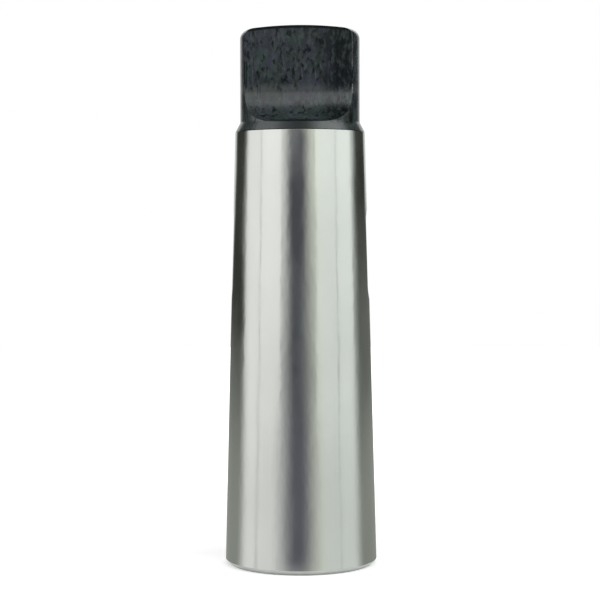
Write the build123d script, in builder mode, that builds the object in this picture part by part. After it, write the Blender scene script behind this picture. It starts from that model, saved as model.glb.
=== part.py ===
"""Reducing sleeve for taper shank tools: outer taper number 5 with a tang, inner taper number 3.

The sleeve is turned and ground from one bar. It stands on its large end face, with the mouth of the
socket down and the tang up. The origin is at the centre of the large end face, +Z runs along the axis
towards the tang, the flats of the tang face -Y and +Y, and the drift slot runs through along X.
All lengths are in millimetres and all angles in degrees.
"""
import os
from math import radians, sqrt, tan

from build123d import *

os.makedirs("parts", exist_ok=True)

# Outer taper, number 5
outer_gauge_diameter = 44.399     # diameter in the gauge plane
outer_taper_ratio = 19.002        # length over which the diameter falls by 1
gauge_plane_height = 8.5          # gauge plane above the large end face
large_end_chamfer = 1.5

# Socket with inner taper, number 3
socket_mouth_diameter = 23.825
socket_taper_ratio = 19.922       # length over which the diameter falls by 1
socket_taper_length = 72.2        # from the large end face to the small end of the taper
straight_bore_length = 5.8        # from the small end of the taper to the drift slot
bore_into_slot = 6.0              # the full diameter of the bore ends this far inside the slot
socket_mouth_chamfer = 0.8
drill_point_angle = 118.0

# Drift slot
slot_width = 8.3
slot_length = 27.0
slot_edge_break = 0.4

# Solid end with the neck and the tang, measured down from the tip
solid_end_length = 53.0           # from the tip to the drift slot
neck_length = 28.0                # from the tip to the shoulder cone
shoulder_length = 2.9             # length of the cone between the neck and the taper
neck_diameter = 35.1
tang_flat_length = 19.0           # from the tip to where the flats begin to run out
tang_thickness = 15.9             # across the two flats
run_out_radius = 9.6              # radius of the cutter that ran out of the flats
tang_edge_break = 0.35
tip_crown_radius = 110.0          # the end face is turned slightly domed
tip_corner_radius = 2.5

# Centre hole in the tip
centre_pilot_diameter = 4.0
centre_hole_depth = 9.7           # full-diameter depth of the pilot
centre_cone_diameter = 8.5
centre_cone_angle = 60.0

# Heights above the large end face
slot_start_height = socket_taper_length + straight_bore_length
slot_middle_height = slot_start_height + slot_length / 2
overall_length = slot_start_height + slot_length + solid_end_length
neck_start_height = overall_length - neck_length
taper_end_height = neck_start_height - shoulder_length
run_out_start = overall_length - tang_flat_length
run_out_foot = run_out_start - run_out_radius

# Outside radii, and the drop of the domed tip from its centre hole to its corner
large_end_radius = (outer_gauge_diameter + gauge_plane_height / outer_taper_ratio) / 2
chamfer_top_radius = large_end_radius - large_end_chamfer / outer_taper_ratio / 2
taper_end_radius = large_end_radius - taper_end_height / outer_taper_ratio / 2
neck_radius = neck_diameter / 2
centre_cone_radius = centre_cone_diameter / 2
crown_drop = sqrt(tip_crown_radius**2 - centre_cone_radius**2) - sqrt(tip_crown_radius**2 - neck_radius**2)
tip_corner = (neck_radius, overall_length - crown_drop)
flat_offset = tang_thickness / 2
clear_of_metal = 2 * large_end_radius

# Radii and depths of the bores
mouth_radius = socket_mouth_diameter / 2
mouth_chamfer_end_radius = mouth_radius - socket_mouth_chamfer / socket_taper_ratio / 2
bore_radius = mouth_radius - socket_taper_length / socket_taper_ratio / 2
bore_end_height = slot_start_height + bore_into_slot
drill_point_tan = tan(radians(drill_point_angle / 2))
bore_tip_height = bore_end_height + bore_radius / drill_point_tan
pilot_radius = centre_pilot_diameter / 2
pilot_end_height = overall_length - centre_hole_depth
pilot_tip_height = pilot_end_height - pilot_radius / drill_point_tan
centre_cone_depth = (centre_cone_radius - pilot_radius) / tan(radians(centre_cone_angle / 2))

with BuildPart() as sleeve:
    # Blank: ground taper, shoulder cone, neck and domed tip, turned about the axis
    with BuildSketch(Plane.XZ) as half_section:
        with BuildLine():
            outside = Polyline(
                (0, 0),
                (large_end_radius - large_end_chamfer, 0),
                (chamfer_top_radius, large_end_chamfer),
                (taper_end_radius, taper_end_height),
                (neck_radius, neck_start_height),
                tip_corner,
            )
            crown = RadiusArc(outside @ 1, (centre_cone_radius, overall_length), -tip_crown_radius)
            Polyline(crown @ 1, (0, overall_length), outside @ 0)
        make_face()
        fillet(half_section.vertices().sort_by_distance(tip_corner)[0], tip_corner_radius)
    revolve(axis=Axis.Z)

    # Socket: mouth chamfer, taper, straight bore and drill point
    with BuildSketch(Plane.XZ):
        with BuildLine():
            Polyline(
                (0, 0),
                (mouth_radius + socket_mouth_chamfer, 0),
                (mouth_chamfer_end_radius, socket_mouth_chamfer),
                (bore_radius, socket_taper_length),
                (bore_radius, bore_end_height),
                (0, bore_tip_height),
                close=True,
            )
        make_face()
    revolve(axis=Axis.Z, mode=Mode.SUBTRACT)

    # Tang: two flats that run out to the neck in a round of the cutter's radius
    with BuildSketch(Plane.YZ):
        with BuildLine():
            flat = Line((flat_offset, overall_length), (flat_offset, run_out_start))
            run_out = RadiusArc(flat @ 1, (flat_offset + run_out_radius, run_out_foot), -run_out_radius)
            Polyline(
                run_out @ 1,
                (clear_of_metal, run_out_foot),
                (clear_of_metal, overall_length),
                flat @ 0,
            )
        make_face()
        mirror(about=Plane.YZ)
    extrude(amount=clear_of_metal, both=True, mode=Mode.SUBTRACT)
    flats = sleeve.faces().filter_by(GeomType.PLANE).filter_by(Axis.Y)
    fillet(
        flats.edges().filter_by_position(Axis.Z, run_out_start, overall_length, inclusive=(False, True)),
        tang_edge_break,
    )

    # Centre hole in the tip: a cone that opens a drilled pilot
    with BuildSketch(Plane.XZ):
        with BuildLine():
            Polyline(
                (0, overall_length),
                (centre_cone_radius, overall_length),
                (pilot_radius, overall_length - centre_cone_depth),
                (pilot_radius, pilot_end_height),
                (0, pilot_tip_height),
                close=True,
            )
        make_face()
    revolve(axis=Axis.Z, mode=Mode.SUBTRACT)

    # Drift slot: round-ended, through both walls, its outer rim broken
    with BuildSketch(Plane.YZ):
        with Locations((0, slot_middle_height)):
            SlotOverall(slot_length, slot_width, rotation=90)
    extrude(amount=clear_of_metal, both=True, mode=Mode.SUBTRACT)
    curved_slot_edges = sleeve.edges(Select.LAST).filter_by(GeomType.LINE, reverse=True)
    chamfer(curved_slot_edges.filter_by(lambda edge: abs(edge.center().X) > mouth_radius), slot_edge_break)

sleeve.part.label = "sleeve"
export_step(sleeve.part, "parts/sleeve.step")
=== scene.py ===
"""Dresses the taper sleeve: a ground steel taper with a blackened neck and tang, seen in a small studio."""
from math import asin, cos, degrees, hypot, pi, radians, sin, sqrt, tan

import bmesh
import bpy
from mathutils import Matrix, Vector


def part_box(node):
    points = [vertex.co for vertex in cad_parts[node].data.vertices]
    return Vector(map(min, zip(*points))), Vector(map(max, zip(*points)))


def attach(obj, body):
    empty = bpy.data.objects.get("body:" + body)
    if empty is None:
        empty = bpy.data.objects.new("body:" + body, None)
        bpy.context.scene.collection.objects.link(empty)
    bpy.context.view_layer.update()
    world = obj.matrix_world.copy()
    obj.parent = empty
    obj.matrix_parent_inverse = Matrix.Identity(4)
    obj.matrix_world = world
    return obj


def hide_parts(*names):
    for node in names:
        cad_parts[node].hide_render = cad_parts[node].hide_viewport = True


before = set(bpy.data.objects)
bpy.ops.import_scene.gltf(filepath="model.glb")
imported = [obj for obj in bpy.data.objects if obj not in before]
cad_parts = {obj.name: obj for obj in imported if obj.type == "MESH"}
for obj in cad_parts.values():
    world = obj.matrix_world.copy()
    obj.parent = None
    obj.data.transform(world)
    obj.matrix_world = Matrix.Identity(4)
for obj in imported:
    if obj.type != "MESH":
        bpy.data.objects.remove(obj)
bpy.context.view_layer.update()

MM = 0.001

# Sizes of the sleeve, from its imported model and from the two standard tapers
high_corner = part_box("sleeve")[1]
overall_length = high_corner[2]
large_end_radius = high_corner[0]
outer_taper_ratio = 19.002
large_end_chamfer = 1.5 * MM
neck_length = 28.0 * MM
shoulder_length = 2.9 * MM
neck_radius = 35.1 / 2 * MM
tip_crown_radius = 110 * MM
tip_corner_radius = 2.5 * MM
flat_offset = 15.9 / 2 * MM
tang_flat_length = 19 * MM
run_out_radius = 9.6 * MM
centre_cone_radius = 8.5 / 2 * MM
centre_cone_angle = 60
pilot_radius = 2 * MM
centre_hole_depth = 9.7 * MM
drill_point_angle = 118
mouth_radius = 23.825 / 2 * MM
mouth_chamfer = 0.8 * MM
socket_taper_ratio = 19.922
socket_taper_length = 72.2 * MM
straight_bore_length = 5.8 * MM
bore_into_slot = 6.0 * MM
slot_width = 8.3 * MM
slot_length = 27.0 * MM

# Breaks of the turned corners, of the neck's foot, and of the flats' and the slot's edges
turned_break = 0.12 * MM
neck_foot_break = 0.36 * MM
edge_break = 0.35 * MM

# Nicks in the front flat's right edge
nick_heights = (140.5 * MM, 139.7 * MM, 138.3 * MM)
nick_radius = 0.4 * MM
nick_overhang = 0.1 * MM

# How finely the sleeve is divided, and the distance below which two places count as one
turned_segments = 288
round_steps = 5
crown_steps = 10
run_out_segments = 36
slot_segments = 48
edge_break_segments = 3
longest_run = 4 * MM
hair = 0.02 * MM

# Heights and radii that follow
neck_start = overall_length - neck_length
taper_end = neck_start - shoulder_length
taper_end_radius = large_end_radius - (taper_end - large_end_chamfer) / outer_taper_ratio / 2
run_out_start = overall_length - tang_flat_length
run_out_foot = run_out_start - run_out_radius
flat_half_width = sqrt(neck_radius**2 - flat_offset**2)
slot_start = socket_taper_length + straight_bore_length
slot_end = slot_start + slot_length
bore_radius = mouth_radius - socket_taper_length / socket_taper_ratio / 2
bore_end = slot_start + bore_into_slot
bore_tip = bore_end + bore_radius / tan(radians(drill_point_angle / 2))
pilot_end = overall_length - centre_hole_depth
pilot_tip = pilot_end - pilot_radius / tan(radians(drill_point_angle / 2))
centre_cone_depth = (centre_cone_radius - pilot_radius) / tan(radians(centre_cone_angle / 2))


def crown_height(radius):
    """Height of the domed tip at a distance from the axis."""
    rise = sqrt(tip_crown_radius**2 - radius**2) - sqrt(tip_crown_radius**2 - centre_cone_radius**2)
    return overall_length + rise


# Mesh tools
def deselect():
    """Leaves nothing selected, so that an operator acts only on what it is given next."""
    bpy.ops.object.select_all(action="DESELECT")


def settle(piece):
    """Puts a piece's place into its mesh, so that its object stands at the origin."""
    deselect()
    piece.select_set(True)
    bpy.context.view_layer.objects.active = piece
    bpy.ops.object.transform_apply(location=True, rotation=True, scale=True)


def pick(piece, rule, kind="VERT"):
    """In edit mode, selects the vertices, edges or faces that a rule on the bmesh item accepts."""
    bpy.ops.mesh.select_mode(type=kind)
    bpy.ops.mesh.select_all(action="DESELECT")
    mesh = bmesh.from_edit_mesh(piece.data)
    items = {"VERT": mesh.verts, "EDGE": mesh.edges, "FACE": mesh.faces}[kind]
    for item in items:
        item.select_set(rule(item))
    mesh.select_flush_mode()
    bmesh.update_edit_mesh(piece.data)


def rounded(corners):
    """Yields the points of an outline of (across, up, radius) corners, each corner with its round."""
    nearly_straight = radians(89.9)
    yield corners[0][:2]
    for before, corner, after in zip(corners, corners[1:], corners[2:]):
        point = Vector(corner[:2])
        back = (Vector(before[:2]) - point).normalized()
        ahead = (Vector(after[:2]) - point).normalized()
        half_angle = back.angle(ahead) / 2
        if not corner[2] or half_angle > nearly_straight:
            yield tuple(point)
            continue
        reach = corner[2] / tan(half_angle)
        centre = point + (back + ahead).normalized() * corner[2] / sin(half_angle)
        start = point + back * reach - centre
        turn_angle = start.angle_signed(point + ahead * reach - centre)
        for step in range(round_steps + 1):
            angle = -turn_angle * step / round_steps
            yield tuple(centre + Vector((
                start.x * cos(angle) - start.y * sin(angle),
                start.x * sin(angle) + start.y * cos(angle),
            )))
    yield corners[-1][:2]


def spaced(points, longest):
    """Adds points to an outline so that no run is longer than a given length."""
    points = list(points)
    yield points[0]
    for start, end in zip(points, points[1:]):
        count = max(1, round(hypot(end[0] - start[0], end[1] - start[1]) / longest))
        for step in range(1, count + 1):
            share = step / count
            yield (start[0] + (end[0] - start[0]) * share, start[1] + (end[1] - start[1]) * share)


def turn(name, outline, first_tip, last_tip):
    """Turns an outline of (radius, height) points about the axis, with a cone to close each end."""
    radius, height = outline[0]
    cone_middle = (first_tip + height) / 2
    deselect()
    bpy.ops.mesh.primitive_cone_add(
        vertices=turned_segments, radius1=radius, radius2=0, depth=first_tip - height,
        end_fill_type="NOTHING", location=(0, 0, cone_middle))
    piece = bpy.context.object
    piece.name = name
    settle(piece)
    bpy.ops.object.mode_set(mode="EDIT")
    pick(piece, lambda vertex: vertex.co.z < cone_middle)
    for (old_radius, old_height), (radius, height) in zip(outline, outline[1:]):
        lift = {"value": (0, 0, height - old_height)}
        bpy.ops.mesh.extrude_region_move(TRANSFORM_OT_translate=lift)
        grow = radius / old_radius
        bpy.ops.transform.resize(value=(grow, grow, 1), center_override=(0, 0, height))
    bpy.ops.mesh.extrude_region_move(TRANSFORM_OT_translate={"value": (0, 0, last_tip - height)})
    bpy.ops.mesh.merge(type="CENTER")
    bpy.ops.mesh.select_all(action="SELECT")
    bpy.ops.mesh.normals_make_consistent(inside=False)
    bpy.ops.object.mode_set(mode="OBJECT")
    return piece


def cut(piece, cutter):
    """Takes the cutter's solid out of the piece, and removes the cutter."""
    deselect()
    bpy.context.view_layer.objects.active = piece
    piece.select_set(True)
    modifier = piece.modifiers.new("Cut", "BOOLEAN")
    modifier.operation = "DIFFERENCE"
    modifier.solver = "EXACT"
    modifier.object = cutter
    bpy.ops.object.modifier_apply(modifier=modifier.name)
    bpy.data.objects.remove(cutter)


def flat_cutter(side):
    """A milling block for one flat of the tang, with the cutter's round along its lower inner edge."""
    reach = 2 * large_end_radius
    deselect()
    bpy.ops.mesh.primitive_cube_add(
        size=reach, location=(0, side * (flat_offset + reach / 2), run_out_foot + reach / 2))
    block = bpy.context.object
    settle(block)
    bpy.ops.object.mode_set(mode="EDIT")
    pick(block, lambda edge: all(
        abs(vertex.co.y - side * flat_offset) < hair and abs(vertex.co.z - run_out_foot) < hair
        for vertex in edge.verts), "EDGE")
    bpy.ops.mesh.bevel(offset=run_out_radius, segments=run_out_segments, affect="EDGES")
    bpy.ops.object.mode_set(mode="OBJECT")
    return block


def slot_cutter():
    """A round-ended bar along X that cuts the drift slot through both walls."""
    lower_centre = slot_start + slot_width / 2
    deselect()
    bpy.ops.mesh.primitive_cylinder_add(
        vertices=slot_segments, radius=slot_width / 2, depth=3 * large_end_radius,
        location=(0, 0, lower_centre), rotation=(0, pi / 2, 0))
    bar = bpy.context.object
    settle(bar)
    bpy.ops.object.mode_set(mode="EDIT")
    bpy.ops.mesh.select_all(action="SELECT")
    bpy.ops.mesh.bisect(plane_co=(0, 0, lower_centre), plane_no=(0, 0, 1))
    pick(bar, lambda face: face.calc_center_median().z > lower_centre, "FACE")
    bpy.ops.mesh.extrude_region_move(
        TRANSFORM_OT_translate={"value": (0, 0, slot_length - slot_width)})
    bpy.ops.mesh.select_all(action="SELECT")
    bpy.ops.mesh.normals_make_consistent(inside=False)
    bpy.ops.object.mode_set(mode="OBJECT")
    return bar


def nick_cutter(height):
    """A small ball on the edge where the front flat runs out to the neck on the right."""
    recess = run_out_radius - sqrt(run_out_radius**2 - max(run_out_start - height, 0)**2)
    depth = flat_offset + recess
    across = sqrt(neck_radius**2 - depth**2)
    deselect()
    bpy.ops.mesh.primitive_ico_sphere_add(
        subdivisions=2, radius=nick_radius, rotation=(0.4, 0.2, height / MM),
        location=(across + nick_overhang, -depth - nick_overhang, height))
    ball = bpy.context.object
    settle(ball)
    return ball


# The sleeve's mesh
def sleeve_outline():
    """The turned outline, from the drill point of the socket round the outside to the centre hole."""
    crown_start = neck_radius - tip_corner_radius
    crown = [
        crown_start + (centre_cone_radius - crown_start) * step / crown_steps
        for step in range(crown_steps)
    ]
    corners = [
        (bore_radius, bore_end, 0),
        (bore_radius, socket_taper_length, 0),
        (mouth_radius - mouth_chamfer / socket_taper_ratio / 2, mouth_chamfer, turned_break),
        (mouth_radius + mouth_chamfer, 0, turned_break),
        (large_end_radius - large_end_chamfer, 0, turned_break),
        (large_end_radius, large_end_chamfer, turned_break),
        (taper_end_radius, taper_end, turned_break),
        (neck_radius, neck_start, neck_foot_break),
        (neck_radius, crown_height(neck_radius), tip_corner_radius),
        *((radius, crown_height(radius), 0) for radius in crown),
        (centre_cone_radius, overall_length, 0),
        (pilot_radius, overall_length - centre_cone_depth, 0),
        (pilot_radius, pilot_end, 0),
    ]
    return list(spaced(rounded(corners), longest_run))


def rim_edge(edge):
    """Whether an edge is the slot's outer rim, or the outline of one of the tang's flats."""
    least_bend = radians(25)
    if len(edge.link_faces) != 2 or edge.calc_face_angle(0) < least_bend:
        return False
    middle = (edge.verts[0].co + edge.verts[1].co) / 2
    on_slot = slot_start - hair < middle.z < slot_end + hair and abs(middle.x) > mouth_radius
    on_flat = middle.z > run_out_start - hair and abs(abs(middle.y) - flat_offset) < hair
    return on_slot or on_flat


def make_sleeve():
    """The whole sleeve as one closed mesh."""
    smooth_below = radians(35)
    piece = turn("taper_sleeve", sleeve_outline(), bore_tip, pilot_tip)
    cut(piece, flat_cutter(-1))
    cut(piece, flat_cutter(1))
    cut(piece, slot_cutter())
    bpy.ops.object.mode_set(mode="EDIT")
    pick(piece, rim_edge, "EDGE")
    bpy.ops.mesh.bevel(
        offset=edge_break, segments=edge_break_segments, affect="EDGES", clamp_overlap=True)
    bpy.ops.object.mode_set(mode="OBJECT")
    for height in nick_heights:
        cut(piece, nick_cutter(height))
    bpy.ops.object.shade_smooth_by_angle(angle=smooth_below)
    modifier = piece.modifiers.new("Even shading", "WEIGHTED_NORMAL")
    modifier.keep_sharp = True
    bpy.ops.object.modifier_apply(modifier=modifier.name)
    return piece


# Shader tools
class Signal:
    """A value on its way through a node tree, whose operators add Math nodes."""

    def __init__(self, builder, socket):
        self.builder = builder
        self.socket = socket

    def maths(self, operation, *values):
        """A Math node on some values, this one among them."""
        return self.builder.node("ShaderNodeMath", {"operation": operation}, dict(enumerate(values)))

    def __add__(self, other):
        return self.maths("ADD", self, other)

    def __sub__(self, other):
        return self.maths("SUBTRACT", self, other)

    def __rsub__(self, other):
        return self.maths("SUBTRACT", other, self)

    def __mul__(self, other):
        return self.maths("MULTIPLY", self, other)

    def __abs__(self):
        return self.maths("ABSOLUTE", self)

    __radd__ = __add__
    __rmul__ = __mul__

    def most(self, other):
        """The greater of two values."""
        return self.maths("MAXIMUM", self, other)

    def wave(self, length):
        """A wave between -1 and 1 that repeats whenever the value grows by a length."""
        return self.maths("SINE", self * (2 * pi / length))

    def rise(self, start, end):
        """0 up to start and 1 from end on, with a soft step between them."""
        return self.builder.node(
            "ShaderNodeMapRange", {"interpolation_type": "SMOOTHSTEP"},
            {"Value": self, "From Min": start, "From Max": end})

    def between(self, start, full, last, end):
        """1 between full and last, and 0 outside start and end."""
        return self.rise(start, full) * (1 - self.rise(last, end))

    def near(self, value, reach):
        """1 where the value is met, down to 0 at a reach to either side."""
        return 1 - abs(self - value).rise(0, reach)


class TreeBuilder:
    """Builds up a node tree, node by node."""

    def __init__(self, tree):
        self.tree = tree
        tree.nodes.clear()

    def node(self, kind, settings=None, sockets=None, output=0):
        """Adds a node, with its settings first and then the values or links of its sockets."""
        node = self.tree.nodes.new(kind)
        for name, value in (settings or {}).items():
            setattr(node, name, value)
        for name, value in (sockets or {}).items():
            if isinstance(value, Signal):
                self.tree.links.new(value.socket, node.inputs[name])
            else:
                node.inputs[name].default_value = value
        return Signal(self, node.outputs[output]) if node.outputs else node

    def seen_ray(self):
        """1 for rays from the camera and for what metal and glass show, 0 for plain light."""
        camera, glossy, transmission = (
            self.node("ShaderNodeLightPath", output=name)
            for name in ("Is Camera Ray", "Is Glossy Ray", "Is Transmission Ray"))
        return camera.most(glossy).most(transmission)


class Finish(TreeBuilder):
    """A material, with its patterns laid out along the object's own axes."""

    def __init__(self, name):
        self.material = bpy.data.materials.new(name)
        self.material.use_nodes = True
        super().__init__(self.material.node_tree)
        self.place = self.node("ShaderNodeTexCoord", output="Object")
        self.x, self.y, self.z = (
            self.node("ShaderNodeSeparateXYZ", sockets={0: self.place}, output=axis) for axis in "XYZ")

    def noise(self, size, stretch=(1, 1, 1), detail=3, roughness=0.5, shift=0):
        """Noise from 0 to 1 in patches of a size, longer along each axis by its stretch."""
        where = self.node("ShaderNodeMapping", sockets={
            "Vector": self.place,
            "Location": (shift, shift, shift),
            "Scale": tuple(1 / (size * length) for length in stretch)})
        return self.node("ShaderNodeTexNoise", sockets={
            "Vector": where, "Scale": 1, "Detail": detail, "Roughness": roughness})

    def spot(self, place, reach):
        """1 at a place, down to 0 at a reach to either side along each axis."""
        across, deep, up = (
            value.near(middle, half) for value, middle, half in zip((self.x, self.y, self.z), place, reach))
        return across * deep * up

    def length(self, vector):
        """The length of a vector."""
        return self.node("ShaderNodeVectorMath", {"operation": "LENGTH"}, {0: vector}, "Value")

    def colours(self, share, first, second):
        """A colour between two colours."""
        return self.node("ShaderNodeMix", {"data_type": "RGBA"}, {0: share, 6: first, 7: second}, 2)

    def relief(self, height):
        """A normal from a height in metres."""
        return self.node("ShaderNodeBump", sockets={"Strength": 1, "Distance": 1, "Height": height})

    def surface(self, sockets):
        """Ends the material in one Principled surface."""
        shader = self.node("ShaderNodeBsdfPrincipled", sockets=sockets)
        self.node("ShaderNodeOutputMaterial", sockets={"Surface": shader})
        return self.material


# Colours of the bright steel
ground_light = (0.61, 0.63, 0.595, 1)
ground_dark = (0.575, 0.595, 0.56, 1)
turned_light = (0.53, 0.55, 0.52, 1)
turned_dark = (0.46, 0.47, 0.46, 1)
# The next colour is painted shadow, for the large end's chamfer where it meets the floor
shadowed_steel = (0.26, 0.27, 0.26, 1)
rubbed_steel = (0.5, 0.5, 0.49, 1)
bore_dark = (0.030, 0.032, 0.034, 1)
bore_light = (0.052, 0.052, 0.050, 1)

# Colours of the black skin
violet_skin = (0.022, 0.023, 0.040, 1)
green_skin = (0.014, 0.029, 0.025, 1)
shaded_skin = (0.006, 0.009, 0.010, 1)
# Painted light, for the foot of the run-out
foot_light_skin = (0.028, 0.037, 0.036, 1)
mottled_skin = (0.031, 0.042, 0.043, 1)
# Painted highlight, for the lip where the run-out starts
lip_highlight = (0.062, 0.066, 0.064, 1)
scratched_skin = (0.05, 0.063, 0.063, 1)
# The darkest colour also carries the painted shadow and shade among the dark places
darkest_skin = (0.002, 0.006, 0.006, 1)
deposit_skin = (0.004, 0.004, 0.004, 1)

# Marks on the tang: a score beside the flats' left edge, the rub of their right edge and a knock on it
score_across = -15.05 * MM
score_heights = (140.2 * MM, 141 * MM, 147 * MM, 148 * MM)
rub_heights = (144 * MM, 147 * MM)
corner_rub_heights = (154 * MM, 156 * MM)
knock_place = (15.75 * MM, -8.0 * MM, 139.4 * MM)
knock_reach = (0.5 * MM, 0.6 * MM, 1.9 * MM)


# Finishes
def ground_steel():
    """Cylindrically ground steel: fine rings from the wheel, and the streaks and bloom of handling."""
    finish = Finish("ground_steel")
    rings = finish.noise(0.09 * MM, (600, 600, 1), detail=2)
    streaks = finish.noise(0.35 * MM, (1, 1, 90), detail=2, shift=5)
    bloom = finish.noise(14 * MM, (1, 1, 2.2), detail=4)
    haze = finish.noise(3 * MM, (1, 1, 3), detail=3, shift=7)
    smears = finish.noise(8 * MM, (1, 1, 2.5), detail=3, shift=13).rise(0.4, 0.6)
    fine_height = rings * (0.0003 * MM) + streaks * (0.0022 * MM)
    return finish.surface({
        "Base Color": finish.colours(bloom.rise(0.3, 0.7), ground_light, ground_dark),
        "Metallic": 1.0,
        "Roughness": 0.065 + bloom * 0.06 + haze * 0.05 + smears * 0.055,
        "Normal": finish.relief(fine_height + haze * (0.014 * MM) + bloom * (0.22 * MM)),
    })


def turned_steel():
    """Steel faced on a lathe, with rings about the axis and painted shadow round its foot, where it meets
    the floor.
    """
    finish = Finish("turned_steel")
    radius = finish.length(finish.node("ShaderNodeCombineXYZ", sockets={0: finish.x, 1: finish.y}))
    feed = 0.16 * MM
    rings = (radius + finish.z).wave(feed)
    bloom = finish.noise(6 * MM, detail=3)
    foot_shadow_radius = large_end_radius - 1.4 * MM
    # Painted shadow darkens the chamfer towards the floor
    foot_shadow = radius.near(foot_shadow_radius, 0.9 * MM) * (1 - finish.z.rise(MM, 2 * MM))
    steel = finish.colours(bloom.rise(0.3, 0.7), turned_light, turned_dark)
    return finish.surface({
        "Base Color": finish.colours(foot_shadow * 0.8, steel, shadowed_steel),
        "Metallic": 1.0,
        "Roughness": 0.27 + bloom * 0.08,
        "Normal": finish.relief(rings * (0.003 * MM)),
    })


def worn_places(finish, edge_line):
    """Where the black skin is rubbed off the flats' right edges, or knocked off the front one."""
    patches = finish.noise(1.1 * MM, (1, 1, 4), detail=3, shift=29).rise(0.4, 0.62)
    corner = finish.z.rise(*corner_rub_heights)
    right_edge = edge_line * finish.x.rise(-MM, MM) * finish.z.rise(*rub_heights)
    rubbed = right_edge * (0.12 + patches * 0.15 + corner * 0.2)
    knocked = finish.spot(knock_place, knock_reach) * 0.8
    return knocked.most(rubbed)


def blackened_steel():
    """The tang's black skin: mottled violet and green, scratched along the tang and worn on its edges."""
    finish = Finish("blackened_steel")
    cloud = finish.noise(5 * MM, (1, 1, 1.3), detail=2, shift=3)
    shade = finish.noise(4 * MM, (1, 1, 1.8), detail=3, shift=41)
    mottle = finish.noise(1.3 * MM, (1, 1, 2), detail=3, roughness=0.55)
    spots = finish.noise(1.1 * MM, (1, 1, 2), detail=2, shift=19)
    strokes = finish.noise(0.4 * MM, (1, 1, 10), detail=2, shift=11)
    scratched = finish.noise(5 * MM, (1, 1, 1.5), detail=1, shift=23).rise(0.48, 0.6)

    # Parts of the tang: what the mill cut, the painted highlight of its run-out's band and lip, the painted
    # light of its foot, the flats and the lines along them
    neck_side = abs(finish.x).rise(flat_half_width - 0.1 * MM, flat_half_width + 0.4 * MM)
    milled = (1 - neck_side * 0.8) * finish.z.rise(run_out_foot - MM, run_out_foot + MM)
    band = finish.z.near(run_out_start - 2 * MM, 4 * MM)
    lip = finish.z.near(run_out_start + 0.2 * MM, 2.2 * MM)
    foot = 1 - finish.z.rise(run_out_foot + 3 * MM, run_out_start - 4 * MM)
    on_flat = abs(finish.y).rise(flat_offset - 0.4 * MM, flat_offset - 0.1 * MM)
    edge_line = abs(finish.x).near(flat_half_width, 0.4 * MM)
    edge_line = edge_line * abs(finish.y).rise(flat_offset - 0.6 * MM, flat_offset)

    # Dark places: the right side, pits, scores along the tang, lines along the flats' left edge, a painted
    # shadow along their top edge under the crown, and painted shade on the shoulder cone's front and back
    right_side = (finish.x + mottle * (9 * MM) + shade * (9 * MM)).rise(12 * MM, 20 * MM) * milled
    # The run-out's band is left out of the pits and of the right side's darkness, as a painted highlight
    pits = spots.rise(0.5, 0.72) * (1 - band) * milled
    scores = (1 - strokes.rise(0.33, 0.43)) * abs(finish.x).rise(8 * MM, 13 * MM)
    crown = finish.z + (finish.x * finish.x + finish.y * finish.y) * (0.5 / tip_crown_radius)
    # Painted shadow along the flats' top edge, under the crown
    top_edge_shadow = on_flat * crown.rise(overall_length - 0.95 * MM, overall_length - 0.5 * MM)
    left_line = (edge_line + finish.x.near(score_across, 0.25 * MM)) * (1 - finish.x.rise(-MM, MM))
    left_line = left_line * on_flat * finish.z.between(*score_heights)
    # Painted shade on the middle of the shoulder cone, front and back
    below_neck = 1 - finish.z.rise(neck_start, neck_start + 0.5 * MM)
    cone_front_shade = below_neck * (1 - abs(finish.x).rise(2 * MM, 9 * MM))
    dark = right_side * (1 - band * 0.8) * (0.24 + (1 - mottle.rise(0.36, 0.64)) * 0.36)
    for place, depth in (
            (pits, 0.55), (scores, 0.4), (top_edge_shadow, 0.65), (left_line, 0.7), (cone_front_shade, 0.5)):
        dark = dark.most(place * depth)

    # Layers of the skin, each over the last, with painted light at the run-out's foot and a painted
    # highlight on its lip
    deposit = finish.z.near(taper_end + 0.1 * MM, 0.2 * MM)
    worn = worn_places(finish, edge_line)
    skin = finish.colours(cloud.rise(0.36, 0.62), violet_skin, green_skin)
    for share, colour in (
            (shade.rise(0.36, 0.64), shaded_skin),
            (foot * 0.6, foot_light_skin),
            (mottle.rise(0.42, 0.66) * 0.7, mottled_skin),
            (lip * 0.6, lip_highlight),
            (strokes.rise(0.57, 0.7) * scratched, scratched_skin),
            (dark.rise(0, 0.6), darkest_skin),
            (deposit, deposit_skin),
            (worn, rubbed_steel)):
        skin = finish.colours(share, skin, colour)
    grain_height = strokes * (0.004 * MM) + spots * (0.015 * MM) + mottle * (0.012 * MM)
    return finish.surface({
        "Base Color": skin,
        "Metallic": worn + deposit + dark,
        "Roughness": 0.16 + mottle * 0.08 + shade * 0.06,
        "IOR": 1.6,
        "Normal": finish.relief(grain_height - worn * (0.03 * MM)),
    })


def bore_steel():
    """Walls that were drilled or milled and then left as they were, dulled by the black skin's bath."""
    finish = Finish("bore_steel")
    mottle = finish.noise(2 * MM, detail=4)
    return finish.surface({
        "Base Color": finish.colours(mottle.rise(0.35, 0.65), bore_dark, bore_light),
        "Roughness": 0.4 + mottle * 0.15,
        "IOR": 2.0,
        "Normal": finish.relief(mottle * (0.03 * MM)),
    })


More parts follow.
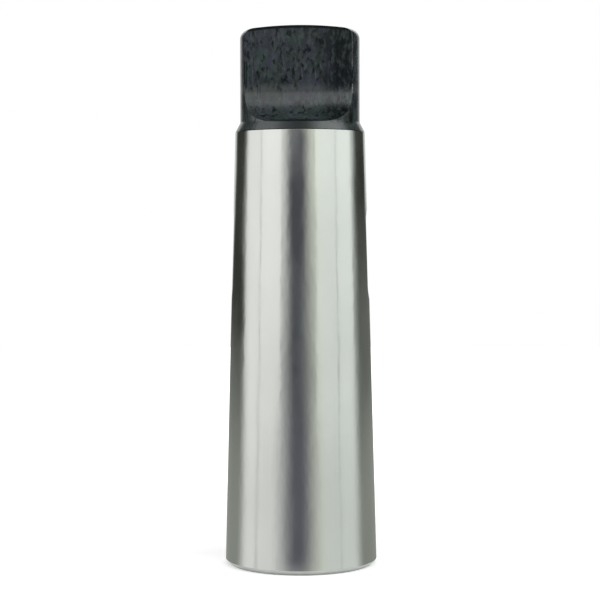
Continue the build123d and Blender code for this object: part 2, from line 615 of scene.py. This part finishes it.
def face_finish(face):
    """The finish of a face of the sleeve, by its place and, on the walls inside, by its normal."""
    socket_wall_lean = 0.2
    slot_wall_turn = 0.5
    middle = face.center
    radius = hypot(middle.x, middle.y)
    if middle.z > taper_end:
        in_centre_cone = (
            pilot_radius + hair < radius < centre_cone_radius
            and pilot_end + hair < middle.z < overall_length - hair)
        if in_centre_cone:
            return turned_steel
        return blackened_steel if radius > centre_cone_radius else bore_steel
    if middle.z < large_end_chamfer and radius > mouth_radius:
        return turned_steel
    if radius > mouth_radius + mouth_chamfer + hair:
        in_slot = abs(middle.y) < slot_width / 2 + hair and slot_start - hair < middle.z < slot_end + hair
        return bore_steel if in_slot and abs(face.normal.x) < slot_wall_turn else ground_steel
    on_socket_taper = middle.z < socket_taper_length and abs(face.normal.z) < socket_wall_lean
    return ground_steel if on_socket_taper else bore_steel


sleeve = make_sleeve()
finishes = (ground_steel, turned_steel, blackened_steel, bore_steel)
for make_finish in finishes:
    sleeve.data.materials.append(make_finish())
for face in sleeve.data.polygons:
    face.material_index = finishes.index(face_finish(face))
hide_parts("sleeve")
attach(sleeve, "root")

# Studio: a round cloth tent with lit sides and dark strips, which the polished taper mirrors
camera_turn = 2.9
tent_radius = 1.0
tent_height = 1.4
tent_middle = 0.1
violet_cloth = (0.087, 0.089, 0.108)
olive_cloth = (0.048, 0.050, 0.044)
grey_cloth = (0.165, 0.172, 0.160)

# Tent's strips: where each starts, is full, is last full and ends, and its moves where low, below and high
front_strip = ((-29, -14, 1, 23), (-10, 0, 0, 16), (0, 5, -7, 0), (0, 0, 0, 0))
left_strip = ((-156, -145, -119, -97), (-22, -20, 5, 5), (0, 0, 0, 3), (0, 0, 6, 0))
right_strip = ((94, 110, 145, 156), (-5, -5, 20, 22), (-2, 10, 0, 0), (5, 5, 0, 0))

# Strips and seams of the floor's painted reflection: where each starts, is full, is last full and ends
floor_front_strip = (-50, -8, -2, 39)
floor_left_strip = (-178, -165, -116, -89)
floor_right_strip = (87, 112, 165, 178)
floor_left_seam = (-76, -73, -72, -69)
floor_right_seam = (61, 63, 64, 66)

# Softboxes: their names, the directions of their two sides, and their colours
neutral = (1.01, 1, 1)
greenish = (0.97, 1, 0.985)
softboxes = (
    ("left_lamp", -69.1, -33, neutral),
    ("far_left_lamp", -104, -71.4, neutral),
    ("right_lamp", 26, 62.1, greenish),
    ("far_right_lamp", 64.4, 98, greenish),
)


def round_the_sleeve(direction, distance, height):
    """A point in a direction round the sleeve, in degrees to the right of the camera's as it sees them."""
    angle = radians(direction + camera_turn)
    return Vector((distance * sin(angle), -distance * cos(angle), height))


def step_up(value, start, end):
    """0 up to start and 1 from end on, with a soft step between them."""
    share = min(max((value - start) / (end - start), 0), 1)
    return share * share * (3 - 2 * share)


def strip(value, start, full, last, end):
    """1 between full and last, and 0 outside start and end."""
    return step_up(value, start, full) * (1 - step_up(value, last, end))


def moving_strip(direction, edges, shares):
    """A strip whose four edges are moved, by as much of each row of moves as its share says."""
    places, *moves = edges
    moved = (
        place + sum(share * row[number] for share, row in zip(shares, moves))
        for number, place in enumerate(places))
    return strip(direction, *moved)


def blend(first, second, share):
    """A colour between two colours."""
    return tuple(old + (new - old) * share for old, new in zip(first, second))


def brighter(colour, times):
    """A colour that is some times as bright."""
    return tuple(times * part for part in colour)


def leftness(direction):
    """1 to the left of the sleeve, 0 to its right, and a half in front and behind."""
    return (1 - sin(radians(direction))) / 2


def lit_cloth(direction, level):
    """The colour of lit cloth: folded, greener on the right and olive beside the front strip."""
    folds = 0.025 * sin(radians(direction * 61)) * sin(radians(direction * 17 + 40))
    olive = 0.07 * strip(direction, 0, 12, 28, 44)
    red, green, blue = blend((0.965, 1, 0.985), (1.01, 1, 1.005), leftness(direction))
    return brighter((red, green, blue * (1 - olive)), level * (1 + folds))


def tent_paint(direction, distance, height):
    """The colour of the tent's light at a place on its cloth."""
    elevation = degrees(asin((height - tent_middle) / hypot(distance, height - tent_middle)))
    low = 1 - step_up(elevation, -5, 3)
    below = 1 - step_up(elevation, -1, 4)
    high = step_up(elevation, 3, 7)
    climb = step_up(elevation, -6, 10)
    left = leftness(direction)
    far_side = step_up(abs(direction), 55, 75)
    wall_light = 0.58 + 0.28 * climb + (0.15 - 0.09 * climb) * left
    side_light = far_side * (0.07 * (1 - left) - 0.12 * climb**2 * left)
    upper_light = 0.52 * step_up(elevation, 8, 25)
    key_light = 1.1 * strip(elevation, 28, 40, 54, 62) * strip(direction, 15, 30, 80, 110)
    colour = lit_cloth(direction, wall_light + side_light + upper_light + key_light)

    shares = (low, below, high)
    window = strip(elevation, 9, 17, 50, 72)
    front = moving_strip(direction, front_strip, shares) * (1 - window)
    ceiling = step_up(elevation, 58, 80)
    colour = blend(colour, violet_cloth, max(front, ceiling))
    left_cloth = blend(grey_cloth, olive_cloth, step_up(elevation, -4.6, -3.6))
    colour = blend(colour, left_cloth, moving_strip(direction, left_strip, shares))
    right_cloth = blend(grey_cloth, olive_cloth, step_up(elevation, -0.5, 0.5))
    return blend(colour, right_cloth, moving_strip(direction, right_strip, shares))


def mirrored_direction(direction, distance):
    """The direction of a far place that the large end mirrors at the same spot as this near one."""
    facing = direction / 2
    for _ in range(12):
        facing = (direction + degrees(asin(large_end_radius * sin(radians(facing)) / distance))) / 2
    return 2 * facing


def floor_paint(direction, distance, height):
    """The painted reflection that the taper mirrors from the floor, where the strips run on to the sleeve's
    foot.
    """
    foot_reach = 28 * MM
    at_foot = max(0, 1 - (distance - large_end_radius) / foot_reach)
    near = 1 - step_up(distance, 0.1, 0.9)
    mirrored = mirrored_direction(direction, distance)
    far_side = step_up(abs(mirrored), 55, 75)
    seam = max(0.3 * strip(mirrored, *floor_left_seam), 0.15 * strip(mirrored, *floor_right_seam))
    level = 0.93 - 0.07 * near + (0.14 - 0.04 * near) * leftness(mirrored) + 0.06 * far_side
    front = strip(mirrored, *floor_front_strip) * (1 - 0.3 * at_foot)
    back = max(strip(mirrored, *floor_left_strip), strip(mirrored, *floor_right_strip))
    colour = lit_cloth(mirrored, level * (1 - seam))
    colour = blend(colour, brighter(violet_cloth, 1.6), front)
    return blend(colour, brighter(grey_cloth, 1.1 + 0.9 * near), back)


def cloth(name, profile, paint):
    """A round sheet of glowing cloth about the sleeve, along a profile of (distance, height) points."""
    columns = 240
    rows = len(profile) - 1
    deselect()
    bpy.ops.mesh.primitive_grid_add(x_subdivisions=columns, y_subdivisions=rows, size=1)
    sheet = bpy.context.object
    sheet.name = name
    shade = sheet.data.attributes.new("shade", "FLOAT_COLOR", "POINT")
    for vertex in sheet.data.vertices:
        direction = 360 * vertex.co.x
        distance, height = profile[round((vertex.co.y + 0.5) * rows)]
        vertex.co = round_the_sleeve(direction, distance, height)
        shade.data[vertex.index].color = (*paint(direction, distance, height), 1)
    finish = Finish(name)
    finish.surface({
        "Base Color": (0, 0, 0, 1), "Specular IOR Level": 0.0, "Roughness": 1.0,
        "Emission Color": finish.node("ShaderNodeAttribute", {"attribute_name": "shade"}, output="Color"),
        "Emission Strength": 1.0})
    sheet.data.materials.append(finish.material)
    sheet.visible_camera = False
    return sheet


def make_tent():
    """The tent's wall and roof, and a glowing sheet on the floor that only mirrored rays meet, a painted
    reflection of the floor.
    """
    wall_rows = 28
    wall = [(tent_radius, tent_height * row / wall_rows) for row in range(wall_rows + 1)]
    roof_rows = 8
    roof = [(tent_radius * (1 - row / roof_rows) + MM, tent_height) for row in range(1, roof_rows + 1)]
    tent = cloth("tent", wall + roof, tent_paint)
    tent.data.materials[0].cycles.emission_sampling = "AUTO"

    floor_rows = 48
    gap = 0.2 * MM
    nearest = large_end_radius + gap
    run = tent_radius - nearest
    floor = [(nearest + run * (row / floor_rows)**3, gap) for row in range(floor_rows + 1)]
    floor_reflection = cloth("floor_reflection", floor, floor_paint)
    floor_reflection.data.materials[0].cycles.emission_sampling = "NONE"
    floor_reflection.visible_diffuse = False
    floor_reflection.visible_shadow = False


def side_lamp(name, start, end, colour):
    """A softbox that stands on the floor and fills the view between two directions."""
    distance = 0.9
    lower = 2 * MM
    upper = 0.9
    brightness = 0.38
    place = round_the_sleeve((start + end) / 2, distance, (lower + upper) / 2)
    lamp = bpy.data.lights.new(name, "AREA")
    lamp.shape = "RECTANGLE"
    lamp.size = 2 * distance * tan(radians(end - start) / 2)
    lamp.size_y = upper - lower
    lamp.energy = pi * brightness * lamp.size * lamp.size_y
    lamp.color = colour
    box = bpy.data.objects.new(name, lamp)
    box.location = place
    box.rotation_euler = (Vector((0, 0, place.z)) - place).to_track_quat("-Z", "Y").to_euler()
    box.visible_camera = False
    bpy.context.scene.collection.objects.link(box)


def make_floor():
    """A plain pale floor, whose glow makes up for what the tent's light lacks towards its edge."""
    foot_glow = 0.32
    edge_glow = 0.76
    deselect()
    bpy.ops.mesh.primitive_circle_add(vertices=96, radius=tent_radius - 20 * MM, fill_type="NGON")
    floor = bpy.context.object
    floor.name = "floor"
    paint = Finish("pale_floor")
    outwards = paint.length(paint.place).rise(30 * MM, 300 * MM)
    paint.surface({
        "Base Color": (0.9, 0.9, 0.9, 1), "Specular IOR Level": 0.0, "Roughness": 1.0,
        "Emission Color": paint.seen_ray() * (foot_glow + outwards * (edge_glow - foot_glow)),
        "Emission Strength": 1.0})
    paint.material.cycles.emission_sampling = "NONE"
    floor.data.materials.append(paint.material)


def make_world():
    """White where it is seen, and a softer fill light."""
    fill_light = 0.4
    world = bpy.data.worlds.new("white_room")
    world.use_nodes = True
    room = TreeBuilder(world.node_tree)
    level = fill_light + room.seen_ray() * (1 - fill_light)
    background = room.node("ShaderNodeBackground", sockets={"Color": (1, 1, 1, 1), "Strength": level})
    room.node("ShaderNodeOutputWorld", sockets={"Surface": background})
    bpy.context.scene.world = world


def make_camera():
    """A long lens at the photograph's angle, a little above the middle and looking slightly down."""
    distance = 507.9 * MM
    height = 97.2 * MM
    focal_pixels = 1719.2
    frame_pixels = 600
    film_width = 36
    drop = 2.18
    roll = -0.15
    axis_pixel = 300.5
    aim = radians(camera_turn) + (axis_pixel - frame_pixels / 2) / focal_pixels
    data = bpy.data.cameras.new("camera")
    data.sensor_width = film_width
    data.lens = film_width * focal_pixels / frame_pixels
    camera = bpy.data.objects.new("camera", data)
    camera.location = round_the_sleeve(0, distance, height)
    camera.rotation_euler = (
        Matrix.Rotation(aim, 3, "Z") @ Matrix.Rotation(radians(90 - drop), 3, "X")
        @ Matrix.Rotation(radians(roll), 3, "Z")).to_euler()
    bpy.context.scene.collection.objects.link(camera)
    bpy.context.scene.camera = camera


make_camera()
make_world()
make_floor()
make_tent()
for softbox in softboxes:
    side_lamp(*softbox)
bpy.context.scene.view_settings.view_transform = "Standard"
